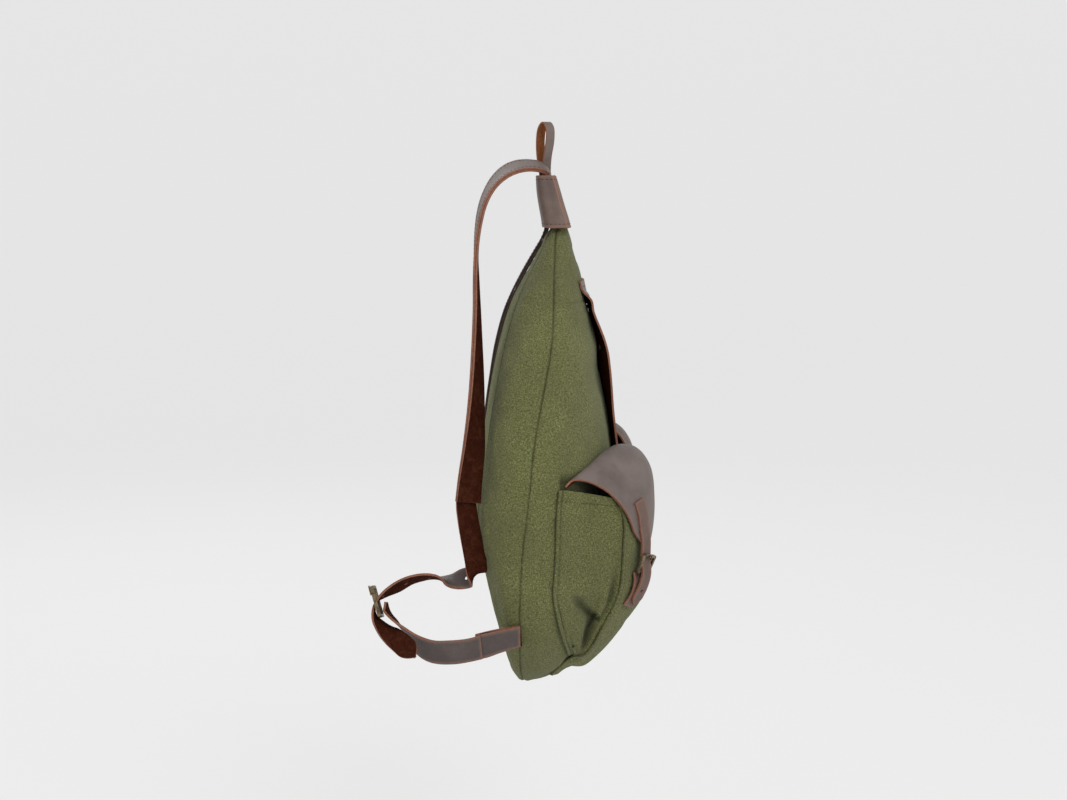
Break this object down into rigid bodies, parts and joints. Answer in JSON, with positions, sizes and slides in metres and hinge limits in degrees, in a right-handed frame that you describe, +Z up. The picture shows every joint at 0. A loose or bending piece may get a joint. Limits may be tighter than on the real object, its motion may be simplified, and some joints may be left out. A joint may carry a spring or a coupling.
{
  "type": "rucksack",
  "caption": "Soft pear-shaped wool rucksack with leather yoke, hang loop, front flap, buckled outer pockets and leather shoulder straps, shown hanging from its loop.",
  "frame": {"origin": "inside top of the hang loop, where a hook carries the bag", "axes": "+Z up, -Y towards the front of the bag with its flap and pockets, -X towards the wearer's left"},
  "size_m": [0.5043, 0.2673, 0.5497],
  "materials": {
    "wool": "matte felted weave",
    "leather": "waxed, dull",
    "strap_leather": "waxed grain, rough flesh side",
    "metal": "dark antique"
  },
  "bodies": {
    "root": {"front_top_panel": "wool", "front_panel": "wool", "back_panel": "wool", "side_panel_left": "wool", "side_panel_right": "wool", "yoke": "leather", "hang_loop": "strap_leather", "main_flap": "leather", "main_flap_stud": "metal", "pocket_front_left": "wool", "pocket_gusset_outer_left": "wool", "pocket_gusset_inner_left": "wool", "pocket_flap_left": "leather", "pocket_strap_left": "strap_leather", "pocket_chape_left": "strap_leather", "pocket_left_buckle": "metal", "pocket_left_prong": "metal", "anchor_tab_left": "leather", "pocket_front_right": "wool", "pocket_gusset_outer_right": "wool", "pocket_gusset_inner_right": "wool", "pocket_flap_right": "leather", "pocket_strap_right": "strap_leather", "pocket_chape_right": "strap_leather", "pocket_right_buckle": "metal", "pocket_right_prong": "metal", "anchor_tab_right": "leather", "shoulder_strap_left": "strap_leather", "lower_strap_left": "strap_leather", "anchor_strap_left": "leather", "strap_left_buckle": "metal", "strap_left_prong": "metal", "shoulder_strap_right": "strap_leather", "lower_strap_right": "strap_leather", "anchor_strap_right": "leather", "strap_right_buckle": "metal", "strap_right_prong": "metal"}
  },
  "joints": []
}
